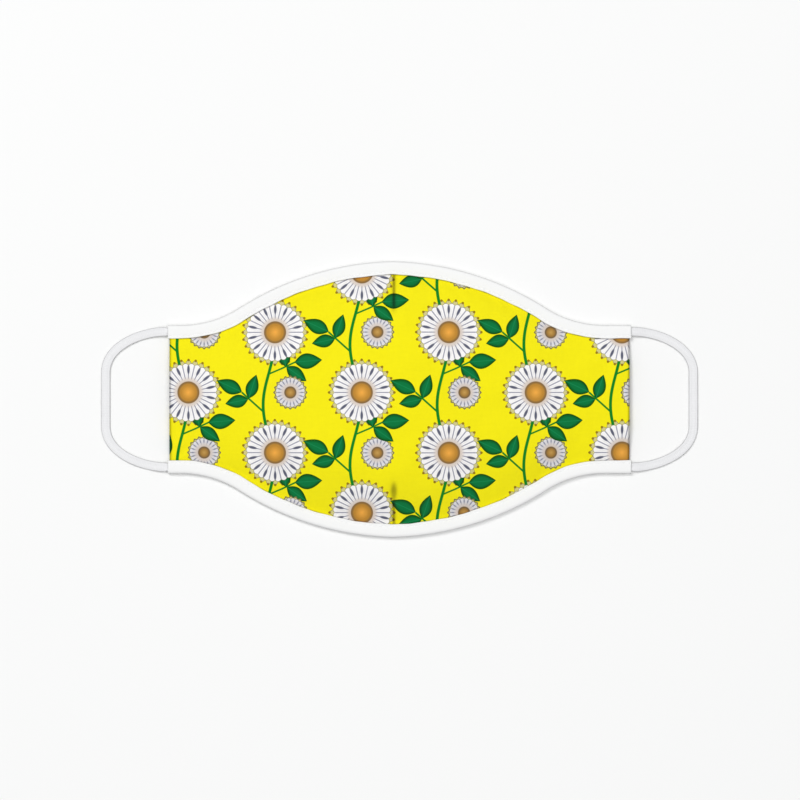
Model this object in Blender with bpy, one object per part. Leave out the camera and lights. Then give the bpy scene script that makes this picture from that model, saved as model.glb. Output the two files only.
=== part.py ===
"""A cloth face mask lying face up: a printed panel domed by two darts, bound top and bottom, with ear loops.

Metres, +Z up. +X runs across the face and +Y towards the wearer's brow. The origin is under the middle of
the mask, on the surface that it rests on.
"""

from math import asin, atan2, cos, exp, hypot, pi, sin, sqrt

import bmesh
import bpy
from mathutils import Vector

# The body's outline, over both bindings
BODY_WIDTH = 0.208
BODY_HEIGHT = 0.1242
SIDE_HEIGHT = 0.0668
# The curved edges' middle is off the body's, so the straight run is longer at one end than at the other
CURVE_OFFSET = -0.0031
SHORT_END_RUN = 0.0058
END_FILLET = 0.0484
# Each half's arc is centred this far past the curves' middle, where the edge has a slight point
CURVE_POINT = 0.0033

# The printed panel
PANEL_WALL = 0.0012
PANEL_SETBACK = 0.0007
DOME_HEIGHT = 0.015
SIDE_LIFT = 0.0022
CORNER_HOLD = 0.0008
DOME_SHARES = {"ridge_softness": 0.30, "flank": 1.25, "crown": 3.0, "ease": 1.3}

# The darts: a sewn valley on the face, and the folded tuck on the inside
DART_OFFSET = -0.0025
DART_DEPTH = 0.0011
DART_VALLEY_WIDTH = 0.0022
DART_TUCK_WIDTH = 0.0045
DART_TUCK_WALL = 0.0009
DART_TIP_RISE = 0.0010
DART_TIP_SPREAD = 0.010
DARTS = (
    {"side": 1, "length": 0.0175},
    {"side": -1, "length": 0.0185},
)

# The folded bindings
BINDING_WIDTH = 0.006
BINDING_WALL = 0.001

# The elastic ear loops
LOOP_WIDTH = 0.0041
LOOP_THICKNESS = 0.0012
LOOP_REACH = 0.0301
LOOP_BACK_RUN = 0.024
LOOP_EASE = 0.35
LOOP_TURN = 0.70
LOOP_TAIL = 0.008
LOOP_SETTLE = 0.009
LOOP_SWELL = 0.0015

CLEARANCE = 0.0003

# How finely the faceted walls are cut
ARC_STEPS = 11
FILLET_STEPS = 4
CURVE_STEPS = 11
PANEL_COLUMN = 0.0075
# Shares of the half height inside the binding, from the middle row outwards
ROW_SHARES = (0.0, 0.2, 0.38, 0.54, 0.67, 0.78, 0.87, 0.94, 1.0)

SLOT = max(PANEL_WALL, LOOP_THICKNESS) + 2 * CLEARANCE
BINDING_THICKNESS = SLOT + 2 * BINDING_WALL
MID_LEVEL = BINDING_THICKNESS / 2
EDGE_INSET = BINDING_WALL + CLEARANCE
TAIL_WIDTH = min(LOOP_WIDTH, BINDING_WIDTH - BINDING_WALL - 2 * CLEARANCE - CORNER_HOLD)
CORNER_INSET = EDGE_INSET + TAIL_WIDTH + CLEARANCE
PANEL_HALF = BODY_WIDTH / 2 - PANEL_SETBACK

RISE = (BODY_HEIGHT - SIDE_HEIGHT) / 2
CURVE_HALF = BODY_WIDTH / 2 - abs(CURVE_OFFSET) - SHORT_END_RUN + CURVE_POINT
ARC_RADIUS = (CURVE_HALF**2 / RISE + RISE) / 2 - END_FILLET
ARC_CENTRE_Y = BODY_HEIGHT / 2 - ARC_RADIUS
FILLET_CENTRE_Y = SIDE_HEIGHT / 2 + END_FILLET
ARC_SPAN = atan2(CURVE_HALF, FILLET_CENTRE_Y - ARC_CENTRE_Y)


def clear_scene():
    for obj in list(bpy.data.objects):
        bpy.data.objects.remove(obj)


def material(name, colour, roughness):
    made = bpy.data.materials.new(name)
    made.use_nodes = True
    shader = made.node_tree.nodes["Principled BSDF"]
    shader.inputs["Base Color"].default_value = (*colour, 1)
    shader.inputs["Roughness"].default_value = roughness
    shader.inputs["Metallic"].default_value = 0
    made.diffuse_color = (*colour, 1)
    return made


def outline(x, inset):
    """Half height of the body's outline at x, moved inwards by inset along its own normal."""
    arc, fillet = ARC_RADIUS - inset, END_FILLET + inset
    away = abs(x - CURVE_OFFSET) + CURVE_POINT
    if away <= arc * sin(ARC_SPAN):
        return ARC_CENTRE_Y + sqrt(arc**2 - away**2)
    if away <= CURVE_HALF:
        return FILLET_CENTRE_Y - sqrt(fillet**2 - (CURVE_HALF - away) ** 2)
    return SIDE_HEIGHT / 2 - inset


def outline_stations():
    """Points along the upper outer edge from +X to -X, each with its direction to the inside."""
    crest = asin(CURVE_POINT / ARC_RADIUS)
    half = []
    for i in range(FILLET_STEPS):
        turn = ARC_SPAN * i / FILLET_STEPS
        inwards = Vector((-sin(turn), -cos(turn), 0))
        edge = Vector((CURVE_HALF, FILLET_CENTRE_Y, 0)) + END_FILLET * inwards
        half.append((edge.x - CURVE_POINT, edge.y, inwards))
    for i in range(ARC_STEPS):
        turn = ARC_SPAN + (crest - ARC_SPAN) * i / ARC_STEPS
        inwards = Vector((-sin(turn), -cos(turn), 0))
        edge = Vector((0, ARC_CENTRE_Y, 0)) - ARC_RADIUS * inwards
        half.append((edge.x - CURVE_POINT, edge.y, inwards))
    down = Vector((0, -1, 0))
    mirrored = [(-x, y, Vector((-n.x, n.y, 0))) for x, y, n in reversed(half)]
    curve = half + [(0, outline(CURVE_OFFSET, 0), down)] + mirrored
    moved = [(x + CURVE_OFFSET, y, inwards) for x, y, inwards in curve]
    ends = [(side * BODY_WIDTH / 2, SIDE_HEIGHT / 2, down) for side in (1, -1)]
    return ends[:1] + moved + ends[1:]


def ridge(x):
    """1 along the line between the darts, falling like a soft roof to 0 at the sides."""
    soft = DOME_SHARES["ridge_softness"]
    away = x - DART_OFFSET
    share = min(1.0, abs(away) / (PANEL_HALF - DART_OFFSET * (1 if away > 0 else -1)))
    roof = 1 - (hypot(share, soft) - soft) / (hypot(1, soft) - soft)
    return roof ** DOME_SHARES["flank"]


def along_dart(x, y, dart):
    """How far a point is down the dart from the binding, as a share of the dart's length."""
    return (outline(x, BINDING_WIDTH) - y * dart["side"]) / dart["length"]


def valley(x, y):
    """How far the sewn fold of a dart draws the face in."""
    depth = 0.0
    for dart in DARTS:
        share = along_dart(x, y, dart)
        if 0 < share < 1:
            start = min(1.0, share * dart["length"] / DART_VALLEY_WIDTH)
            across = exp(-(((x - DART_OFFSET) / DART_VALLEY_WIDTH) ** 2))
            depth += DART_DEPTH * start * (1 - share) ** 0.6 * across
    return depth


def tip_rise(x, y):
    """The soft point that cloth makes where a dart runs out."""
    rise = 0.0
    for dart in DARTS:
        tip_y = dart["side"] * (outline(DART_OFFSET, BINDING_WIDTH) - dart["length"])
        away = hypot(x - DART_OFFSET, y - tip_y) / DART_TIP_SPREAD
        rise += DART_TIP_RISE * exp(-(away**2))
    return rise


def level(x, y):
    """Height of the panel's middle surface."""
    share = min(1.0, abs(y) / outline(x, BINDING_WIDTH))
    crown = (1 - share ** DOME_SHARES["crown"]) ** DOME_SHARES["ease"]
    swell = SIDE_LIFT + (DOME_HEIGHT - SIDE_LIFT) * ridge(x)
    return MID_LEVEL + crown * (swell + tip_rise(x, y)) - valley(x, y)


def tuck(x, y):
    """Extra thickness on the inside where a dart's folded cloth lies to one side."""
    away = x - DART_OFFSET
    for dart in DARTS:
        share = along_dart(x, y, dart)
        width = DART_TUCK_WIDTH * (1 - share)
        if 0 < share < 1 and 0 <= away <= width:
            return DART_TUCK_WALL
    return 0.0


def normal_at(x, y):
    step = CLEARANCE
    slope_x = (level(x + step, y) - level(x - step, y)) / (2 * step)
    slope_y = (level(x, y + step) - level(x, y - step)) / (2 * step)
    return Vector((-slope_x, -slope_y, 1)).normalized()


def panel_columns():
    """X of each column of the panel: even steps, closer round the darts, and a pair at each corner notch."""
    notch = BODY_WIDTH / 2 - LOOP_TAIL - CLEARANCE
    near = (-2.2, -1.0, -0.45, 0.0, 0.45, 1.0, 2.2)
    close = [DART_OFFSET + DART_VALLEY_WIDTH * share for share in near]
    fixed = close + [-PANEL_HALF, PANEL_HALF]
    for side in (-1, 1):
        fixed += [side * notch, side * (notch - CLEARANCE)]
    count = round(2 * PANEL_HALF / PANEL_COLUMN)
    even = [-PANEL_HALF + 2 * PANEL_HALF * i / count for i in range(1, count)]
    spare = PANEL_COLUMN / 3
    free = [x for x in even if all(abs(x - f) > spare for f in fixed)]
    return sorted(fixed + free), notch


def panel_rows(x, notch):
    """Y of each row of the panel at x, from the lower edge to the upper."""
    inner = outline(x, BINDING_WIDTH)
    inset = CORNER_INSET if abs(x) >= notch else EDGE_INSET
    upper = [inner * share for share in ROW_SHARES]
    upper.append(outline(x, inset))
    return [-y for y in reversed(upper[1:])] + upper


def add_object(name, bm, skin):
    bmesh.ops.recalc_face_normals(bm, faces=bm.faces)
    mesh = bpy.data.meshes.new(name)
    bm.to_mesh(mesh)
    bm.free()
    mesh.materials.append(skin)
    mesh.shade_smooth()
    mesh.set_sharp_from_angle(angle=pi / 4)
    obj = bpy.data.objects.new(name, mesh)
    bpy.context.scene.collection.objects.link(obj)
    return obj


def add_panel(skin):
    """The printed cloth: its face and its inside, joined round the rim."""
    columns, notch = panel_columns()
    bm = bmesh.new()
    face, inside = [], []
    for x in columns:
        rows = panel_rows(x, notch)
        middles = [Vector((x, y, level(x, y))) for y in rows]
        normals = [normal_at(x, y) for y in rows]
        face.append([bm.verts.new(p + n * PANEL_WALL / 2) for p, n in zip(middles, normals)])
        walls = [PANEL_WALL / 2 + tuck(x, y) for y in rows]
        inside.append([bm.verts.new(p - n * w) for p, n, w in zip(middles, normals, walls)])
    last_column, last_row = len(columns) - 1, len(face[0]) - 1
    for i in range(last_column):
        for j in range(last_row):
            for side in (face, inside):
                bm.faces.new((side[i][j], side[i + 1][j], side[i + 1][j + 1], side[i][j + 1]))
        for j in (0, last_row):
            bm.faces.new((face[i][j], face[i + 1][j], inside[i + 1][j], inside[i][j]))
    for i in (0, last_column):
        for j in range(last_row):
            bm.faces.new((face[i][j], face[i][j + 1], inside[i][j + 1], inside[i][j]))
    return add_object("printed_panel", bm, skin)


def add_sweep(name, rings, skin):
    """A closed solid through rings of points, capped at both ends."""
    bm = bmesh.new()
    made = [[bm.verts.new(point) for point in ring] for ring in rings]
    count = len(made[0])
    for one, other in zip(made, made[1:]):
        for i in range(count):
            j = (i + 1) % count
            bm.faces.new((one[i], one[j], other[j], other[i]))
    bm.faces.new(made[0])
    bm.faces.new(made[-1])
    return add_object(name, bm, skin)


def binding_section():
    """(distance in from the outer edge, height) round the folded tape, a U open towards the panel."""
    fold, half, slot = BINDING_WALL, BINDING_THICKNESS / 2, SLOT / 2
    upper = [(BINDING_WIDTH, half), (fold, half), (0.3 * fold, 0.75 * half), (0, 0.35 * half)]
    lower = [(inwards, -height) for inwards, height in reversed(upper)]
    return upper + lower + [(BINDING_WIDTH, -slot), (fold, -slot), (fold, slot), (BINDING_WIDTH, slot)]


def add_binding(name, side, skin):
    """A folded tape over the panel's upper (side 1) or lower (side -1) edge."""
    rings = []
    for x, y, inwards in outline_stations():
        ring = []
        for distance, height in binding_section():
            ring.append(Vector((x, y, MID_LEVEL + height)) + inwards * distance)
        rings.append([Vector((p.x, p.y * side, p.z)) for p in ring])
    return add_sweep(name, rings, skin)


def loop_half(side):
    """(x, y) down the upper half of an ear loop's centreline, from its tail, mirrored to +X for either side."""
    end_x = BODY_WIDTH / 2
    tail_inset = EDGE_INSET + TAIL_WIDTH / 2
    tail = [end_x - LOOP_TAIL * share for share in (1.0, 0.5, 0.0)]
    points = [(x, outline(side * x, tail_inset)) for x in tail]
    start = Vector((end_x + LOOP_SWELL, SIDE_HEIGHT / 2 - BINDING_WIDTH / 2))
    back_x = end_x + LOOP_REACH - LOOP_WIDTH / 2
    finish = Vector((back_x, LOOP_BACK_RUN / 2))
    wide, high = finish.x - start.x, start.y - finish.y
    near, far = start + Vector((LOOP_EASE * wide, 0)), finish + Vector((0, LOOP_TURN * high))
    for i in range(CURVE_STEPS + 1):
        t = i / CURVE_STEPS
        s = 1 - t
        point = start * s**3 + near * 3 * s * s * t + far * 3 * s * t * t + finish * t**3
        points.append((point.x, point.y))
    return points


def loop_level(x):
    """The loop leaves the binding's slot at its middle and settles onto the surface."""
    share = min(1.0, max(0.0, (x - BODY_WIDTH / 2 - CLEARANCE) / LOOP_SETTLE))
    ease = share * share * (3 - 2 * share)
    return MID_LEVEL + (LOOP_THICKNESS / 2 - MID_LEVEL) * ease


def band_section(width):
    """(across, height) round a flat band with soft edges."""
    half_width, half_high = width / 2, LOOP_THICKNESS / 2
    soft = half_high * 0.7
    corner = [(half_width - soft, half_high), (half_width, half_high - soft)]
    other = [(half_width, soft - half_high), (half_width - soft, -half_high)]
    right = corner + other
    return right + [(-across, height) for across, height in reversed(right)]


def add_loop(name, side, skin):
    """An elastic band from the upper binding's end (side 1 is +X) round to the lower one's."""
    half = loop_half(side)
    path = half + [(x, -y) for x, y in reversed(half)]
    rings = []
    for i, (x, y) in enumerate(path):
        before, after = path[max(i - 1, 0)], path[min(i + 1, len(path) - 1)]
        ahead = Vector((after[0] - before[0], after[1] - before[1], 0)).normalized()
        across = Vector((-ahead.y, ahead.x, 0))
        width = TAIL_WIDTH if x <= BODY_WIDTH / 2 else LOOP_WIDTH
        middle = Vector((x, y, loop_level(x)))
        ring = [middle + across * a + Vector((0, 0, h)) for a, h in band_section(width)]
        rings.append([Vector((p.x * side, p.y, p.z)) for p in ring])
    return add_sweep(name, rings, skin)


def build():
    clear_scene()
    print_cloth = material("print_cloth", (0.97, 0.86, 0.03), 0.85)
    white_tape = material("white_tape", (0.93, 0.93, 0.92), 0.8)
    white_elastic = material("white_elastic", (0.92, 0.92, 0.92), 0.75)
    add_panel(print_cloth)
    add_binding("top_binding", 1, white_tape)
    add_binding("bottom_binding", -1, white_tape)
    add_loop("right_ear_loop", 1, white_elastic)
    add_loop("left_ear_loop", -1, white_elastic)


build()
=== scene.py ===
"""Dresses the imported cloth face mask: its print, folded tape, ribbed elastic, floor, lights and camera."""

from math import atan, atan2, cos, hypot, pi, radians, sin, tan

import bmesh
import bpy
import numpy as np
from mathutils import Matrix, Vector


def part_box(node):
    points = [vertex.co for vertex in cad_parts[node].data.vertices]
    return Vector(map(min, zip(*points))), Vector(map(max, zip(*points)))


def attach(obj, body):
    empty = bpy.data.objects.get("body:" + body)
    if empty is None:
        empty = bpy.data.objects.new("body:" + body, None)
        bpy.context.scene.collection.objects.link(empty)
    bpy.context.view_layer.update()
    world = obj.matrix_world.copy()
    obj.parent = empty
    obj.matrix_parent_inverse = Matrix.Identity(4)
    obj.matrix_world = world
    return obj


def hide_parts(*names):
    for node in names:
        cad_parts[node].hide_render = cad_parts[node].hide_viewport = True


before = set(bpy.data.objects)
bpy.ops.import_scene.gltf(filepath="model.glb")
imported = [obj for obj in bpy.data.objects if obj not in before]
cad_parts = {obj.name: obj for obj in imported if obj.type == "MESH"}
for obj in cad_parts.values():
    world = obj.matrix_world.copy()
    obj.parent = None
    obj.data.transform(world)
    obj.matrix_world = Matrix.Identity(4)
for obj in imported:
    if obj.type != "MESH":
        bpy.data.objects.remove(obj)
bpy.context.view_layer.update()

MM = 0.001
BODY = "root"

# Sizes read from the frame, in metres
TAPE_LOW, TAPE_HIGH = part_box("top_binding")
PANEL_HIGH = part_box("printed_panel")[1]
LOOP_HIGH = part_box("right_ear_loop")[1]

# The binding tape
TAPE_WIDTH = 6 * MM
TAPE_WALL = 1 * MM
TAPE_THICKNESS = TAPE_HIGH.z - TAPE_LOW.z
SLOT = TAPE_THICKNESS - 2 * TAPE_WALL
MID_LEVEL = (TAPE_HIGH.z + TAPE_LOW.z) / 2
TAPE_FOLD = 1.9 * MM
TAPE_FOLD_STEPS = 8
TAPE_FOLD_FULLNESS = 0.75
TAPE_END_RUN = 6 * MM
TAPE_END_FLAT = 0.5 * MM
TAPE_END_PRESS = 0.25 * MM
TAPE_SWAY = 0.10 * MM
TAPE_SWAY_LENGTH = 23 * MM
TAPE_RIPPLE = 0.05 * MM
TAPE_RIPPLE_LENGTH = 9 * MM

# Half of the tape's section in millimetres: (in from the inner edge, below the face) at its lip, (beside
# the seam, below the face) along its face, and (in from the inner edge, outside the slot) in its slot
TAPE_LIP = ((0, 0.55), (0.04, 0.26), (0.16, 0.07), (0.32, 0.02))
TAPE_FACE = ((0.45, 0.03), (0.2, 0.12), (0, 0.17), (-0.2, 0.12), (-0.45, 0.03), (-1, 0), (-1.9, 0))
TAPE_SLOT = ((0.05, 0.1), (0.3, 0), (2.5, 0), (4.4, 0))

# The row of stitches along the tape
STITCH_INSET = 1.15 * MM
STITCH_PITCH = 2.6 * MM
STITCH_LENGTH = 1.95 * MM
STITCH_RADIUS = 0.17 * MM
STITCH_FULLNESS = 0.35
STITCH_DIVE = 1.2 * STITCH_RADIUS
STITCH_SINK = 0.16 * MM
STITCH_SINK_BELOW = 0.27 * MM
STITCH_SLANT = 0.10
STITCH_SLANT_TURN = 2.4
STITCH_PULL = 0.06 * MM
STITCH_PULL_WIDTH = 0.8 * MM

# The body's outline, over the tape
BODY_WIDTH = TAPE_HIGH.x - TAPE_LOW.x
BODY_HEIGHT = 124.2 * MM
SIDE_HEIGHT = 2 * (TAPE_LOW.y + TAPE_WIDTH)
CURVE_OFFSET = -3.1 * MM
CURVE_POINT = 3.3 * MM
SHORT_END_RUN = 5.8 * MM
END_FILLET = 48.4 * MM
RISE = (BODY_HEIGHT - SIDE_HEIGHT) / 2
CURVE_HALF = BODY_WIDTH / 2 - abs(CURVE_OFFSET) - SHORT_END_RUN + CURVE_POINT
ARC_RADIUS = (CURVE_HALF**2 / RISE + RISE) / 2 - END_FILLET
ARC_CENTRE_Y = BODY_HEIGHT / 2 - ARC_RADIUS
FILLET_CENTRE_Y = SIDE_HEIGHT / 2 + END_FILLET
ARC_SPAN = atan2(CURVE_HALF, FILLET_CENTRE_Y - ARC_CENTRE_Y)

# The printed panel
PANEL_WALL = 1.2 * MM
PANEL_HALF = PANEL_HIGH.x
DOME_HEIGHT = 15 * MM
SIDE_LIFT = 2.2 * MM
DOME_SHARES = {"ridge_softness": 0.30, "flank": 1.25, "crown": 3.0, "ease": 1.3}
HELD_MIDDLE = 2.4 * MM
HELD_CORNER = 0.8 * MM
HELD_SHARE = 0.02
FREE_OF_TAPE = (-0.1 * MM, 1.5 * MM)
CORNER_RUN = 9 * MM
CORNER_EASE = 2 * MM
SIDE_HEM = 7 * MM
SIDE_HEM_STEP = 0.25 * MM
SIDE_HEM_EASE = 0.3 * MM
HEM_X = PANEL_HALF - SIDE_HEM
SIDE_ROLL = 0.6 * MM
ROLL_X = PANEL_HALF - SIDE_ROLL
ROLL_TURNS = np.arange(1, 8) * pi / 8

# Steps of the panel's mesh: in metres across it, and up it from each share of its half height
PANEL_STEPS = {"seam": 0.15 * MM, "near_seam": 0.3 * MM, "hem": 0.35 * MM, "plain": 0.95 * MM}
SEAM_REACH = 1.2 * MM
NEAR_SEAM_REACH = 3.6 * MM
HEM_REACH = 1 * MM
PANEL_ROWS = [(0, 0.020), (0.80, 0.010), (0.96, 0.005), (1.0, None)]

# The darts
DART_X = -2.5 * MM
DART_VALLEY_DEPTH = 1.0 * MM
DART_VALLEY_WIDTH = 2.0 * MM
DART_SEAM_DEPTH = 0.95 * MM
DART_SEAM_WIDTH = 0.45 * MM
DART_SEAM_START = 1 * MM
DART_SEAM_FADE = 5 * MM
DART_TUCK_WIDTH = 4.5 * MM
DART_TUCK_WALL = 0.9 * MM
DART_TUCK_START = 2 * MM
DART_TUCK_POINT = 1 * MM
DART_TUCK_EASE = 0.3 * MM
DART_TUCK_EDGE = (-0.4 * MM, 0.1 * MM)
DART_TIP_RISE = 0.9 * MM
DART_TIP_SPREAD = 10 * MM
DARTS = (
    {"side": 1, "length": 17.5 * MM, "dimple": 0.3 * MM, "open": 0.0},
    {"side": -1, "length": 18.5 * MM, "dimple": 1.0 * MM, "open": 5.0 * MM},
)

# Ovals along a dart, back from its tip: the dimple in the cloth and the shade that lies in it
DIMPLE = {"back": 3.2 * MM, "stretch": 2.0, "radius": 1.7 * MM, "edge": 2}
DIMPLE_SHADE = {"back": 3.4 * MM, "stretch": 2.3, "radius": 1.7 * MM, "edge": 4}

# Wrinkles in the cloth
PUCKERS = (
    {"wavelength": 4.9 * MM, "height": 0.07 * MM, "phase": 0.3},
    {"wavelength": 7.7 * MM, "height": 0.11 * MM, "phase": 1.9},
    {"wavelength": 12.6 * MM, "height": 0.14 * MM, "phase": 4.0},
)
PUCKER_REACH = 8 * MM
PUCKER_START = 1.6 * MM
PUCKER_LOWER_PHASE = 1.1
PUCKER_DRIFT = 0.8
PUCKER_DRIFT_LENGTH = 17 * MM
DRAG_LINES = (
    {"corner": (1, 1), "count": 11, "height": 0.34 * MM, "phase": 0.4},
    {"corner": (-1, 1), "count": 10, "height": 0.30 * MM, "phase": 1.7},
    {"corner": (1, -1), "count": 10, "height": 0.32 * MM, "phase": 2.6},
    {"corner": (-1, -1), "count": 12, "height": 0.34 * MM, "phase": 0.9},
)
DRAG_START = (3 * MM, 12 * MM)
DRAG_REACH = 26 * MM
DRAG_EASE = 3 * MM
SLACK = (
    {"along": (1.0, 0.25), "wavelength": 47 * MM, "height": 0.30 * MM, "phase": 0.7},
    {"along": (0.4, 1.0), "wavelength": 33 * MM, "height": 0.20 * MM, "phase": 2.2},
    {"along": (-0.8, 1.0), "wavelength": 21 * MM, "height": 0.12 * MM, "phase": 4.1},
)
SLACK_EASE = 12 * MM

# The shares of light lost where surfaces meet or turn away, and how far each reaches
SHADE = {
    "tape": 0.50,
    "tape_reach": 0.32 * MM,
    "side": 0.45,
    "side_reach": 0.28 * MM,
    "seam": 0.50,
    "seam_reach": 0.85 * MM,
    "seam_fade": (4.5 * MM, 0.5 * MM),
    "dimple": 0.54,
    "inside": 0.6,
    "rim": 0.26,
    "rim_reach": 0.36 * MM,
}

# The ear loops
LOOP_WIDTH = 4.1 * MM
LOOP_THICKNESS = 1.2 * MM
LOOP_EDGE = 0.12
LOOP_SQUARENESS = 7
LOOP_RIBS = 7
LOOP_RIB_DEPTH = 0.07 * MM
LOOP_RIB_STEPS = 6
LOOP_START = 1.5 * MM
LOOP_EASE = 0.35
LOOP_TURN = 0.70
LOOP_BACK_RUN = 24 * MM
LOOP_POINTS = {"tail": 12, "bend": 120, "back": 20, "in_all": 420}
LOOP_SMOOTHINGS = 6
LOOP_TAIL = 8 * MM
LOOP_TAIL_WIDTH = 3.6 * MM
LOOP_TAIL_INSET = 3.1 * MM
LOOP_WIDENING = 1.8 * MM
LOOP_FALL_START = 0.3 * MM
LOOP_SETTLE = 9 * MM
LOOP_CLEARANCE = 0.03 * MM
LOOP_SWAY = 0.18 * MM
LOOP_SWAY_LENGTH = 31 * MM
LOOP_TILT = radians(5)
LOOP_TILT_LENGTH = 52 * MM
LOOP_TILT_PHASE = 0.6

# The photograph's frame
FRAME_PIXELS = 800
PHOTO_SCALE = BODY_WIDTH / 463
PHOTO_MIDDLE = (399.5, 399.4)
LENS_MM = 200
SENSOR_MM = 36


def srgb(red, green, blue):
    """A colour given as a screen shows it, 0 to 255, in Blender's linear numbers."""
    shares = [value / 255 for value in (red, green, blue)]
    return [s / 12.92 if s <= 0.04045 else ((s + 0.055) / 1.055) ** 2.4 for s in shares] + [1.0]


# Shape of the body


def outline(x, inset):
    """Half height of the body's outline at x, moved inwards by inset along its own normal."""
    arc, fillet = ARC_RADIUS - inset, END_FILLET + inset
    away = np.abs(x - CURVE_OFFSET) + CURVE_POINT
    on_arc = ARC_CENTRE_Y + np.sqrt(np.maximum(arc**2 - away**2, 0))
    on_fillet = FILLET_CENTRE_Y - np.sqrt(np.maximum(fillet**2 - (CURVE_HALF - away) ** 2, 0))
    straight = np.full_like(away, SIDE_HEIGHT / 2 - inset)
    past_arc = np.where(away <= CURVE_HALF, on_fillet, straight)
    return np.where(away <= arc * sin(ARC_SPAN), on_arc, past_arc)


def smooth_step(value, start, end):
    share = np.clip((value - start) / (end - start), 0, 1)
    return share * share * (3 - 2 * share)


def ridge(x):
    """1 along the line between the darts, falling like a soft roof to 0 at the sides."""
    soft = DOME_SHARES["ridge_softness"]
    away = x - DART_X
    share = np.minimum(1, np.abs(away) / (PANEL_HALF - DART_X * np.sign(away)))
    roof = 1 - (np.hypot(share, soft) - soft) / (hypot(1, soft) - soft)
    return np.maximum(roof, 0) ** DOME_SHARES["flank"]


def down_dart(y, dart):
    """The distance from the tape's inner edge at a dart towards the middle of the mask."""
    return float(outline(np.array(DART_X), TAPE_WIDTH)) - y * dart["side"]


def oval(across, past_tip, form):
    """1 in the middle of an oval that lies back from a dart's tip, falling to 0 round it."""
    away = np.hypot(across, (past_tip + form["back"]) / form["stretch"])
    return np.exp(-((away / form["radius"]) ** form["edge"]))


def dart_relief(x, y):
    """What the darts add to the panel's level: a valley, a dimple and the soft rise at each tip."""
    relief = np.zeros_like(x)
    across = x - DART_X
    for dart in DARTS:
        down = down_dart(y, dart)
        past_tip = down - dart["length"]
        on = smooth_step(down, 0, DART_VALLEY_WIDTH) * np.clip(1 - down / dart["length"], 0, 1) ** 0.5
        relief -= DART_VALLEY_DEPTH * on * np.exp(-((across / DART_VALLEY_WIDTH) ** 2))
        relief += DART_TIP_RISE * np.exp(-((np.hypot(across, past_tip) / DART_TIP_SPREAD) ** 2))
        relief -= dart["dimple"] * oval(across, past_tip, DIMPLE)
    return relief


def seam_crease(x, y):
    """How far the face turns down into the sewn line of a dart."""
    depth = np.zeros_like(x)
    for dart in DARTS:
        down = down_dart(y, dart)
        end = dart["length"] - dart["open"]
        on = smooth_step(down, 0, DART_SEAM_START) * (1 - smooth_step(down, end - DART_SEAM_FADE, end))
        depth += DART_SEAM_DEPTH * on * np.exp(-np.abs(x - DART_X) / DART_SEAM_WIDTH)
    return depth


def wrinkles(x, y):
    """Small puckers along the tape, drag lines from the ear loops' corners, and the cloth's own slack."""
    from_tape = np.maximum(outline(x, TAPE_WIDTH) - np.abs(y), 0)
    height = np.zeros_like(x)
    fade = np.exp(-from_tape / PUCKER_REACH) * (1 - np.exp(-from_tape / PUCKER_START))
    shift = np.where(y > 0, 0, PUCKER_LOWER_PHASE)
    drift = PUCKER_DRIFT * np.sin(x / PUCKER_DRIFT_LENGTH)
    for wave in PUCKERS:
        turn = 2 * pi * x / wave["wavelength"] + wave["phase"] + shift + drift
        height += wave["height"] * fade * np.sin(turn)
    for line in DRAG_LINES:
        dx = PANEL_HALF - x * line["corner"][0]
        dy = (SIDE_HEIGHT / 2 - TAPE_WIDTH / 2) - y * line["corner"][1]
        away = np.hypot(dx, dy)
        turn = np.arctan2(dy, dx) * line["count"] + line["phase"]
        rise = smooth_step(away, *DRAG_START) * np.exp(-away / DRAG_REACH)
        height += line["height"] * rise * np.sin(turn) * smooth_step(from_tape, 0, DRAG_EASE)
    for wave in SLACK:
        turn = 2 * pi * (x * wave["along"][0] + y * wave["along"][1]) / wave["wavelength"] + wave["phase"]
        height += wave["height"] * np.sin(turn) * smooth_step(from_tape, 0, SLACK_EASE)
    return height


def level(x, y):
    """Height of the panel's middle surface."""
    share = np.minimum(1, np.abs(y) / outline(x, TAPE_WIDTH))
    crown = (1 - share ** DOME_SHARES["crown"]) ** DOME_SHARES["ease"]
    swell = SIDE_LIFT + (DOME_HEIGHT - SIDE_LIFT) * ridge(x)
    detail = dart_relief(x, y) + wrinkles(x, y)
    return MID_LEVEL + crown * swell + smooth_step(1 - share, 0, HELD_SHARE) * detail


def panel_normals(x, y):
    step = 0.1 * MM
    slope_x = (level(x + step, y) - level(x - step, y)) / (2 * step)
    slope_y = (level(x, y + step) - level(x, y - step)) / (2 * step)
    normals = np.stack([-slope_x, -slope_y, np.ones_like(x)], axis=-1)
    return normals / np.linalg.norm(normals, axis=-1, keepdims=True)


def tuck(x, y):
    """Extra thickness on the inside, where a dart's folded cloth lies to one side of its seam."""
    extra = np.zeros_like(x)
    across = x - DART_X
    for dart in DARTS:
        down = down_dart(y, dart)
        width = DART_TUCK_WIDTH * np.clip(1 - down / dart["length"], 0, 1)
        past_seam = smooth_step(across, -DART_TUCK_EASE, DART_TUCK_EASE)
        past_fold = smooth_step(across, width + DART_TUCK_EDGE[0], width + DART_TUCK_EDGE[1])
        ends = smooth_step(down, 0, DART_TUCK_START) * smooth_step(width, 0, DART_TUCK_POINT)
        extra += DART_TUCK_WALL * past_seam * (1 - past_fold) * ends
    return extra


def rim_shade(from_rim):
    """The share of light lost along the rims of the tape and the elastic, the photo's grey outlines."""
    return SHADE["rim"] * np.exp(-((from_rim / SHADE["rim_reach"]) ** 2))


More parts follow.
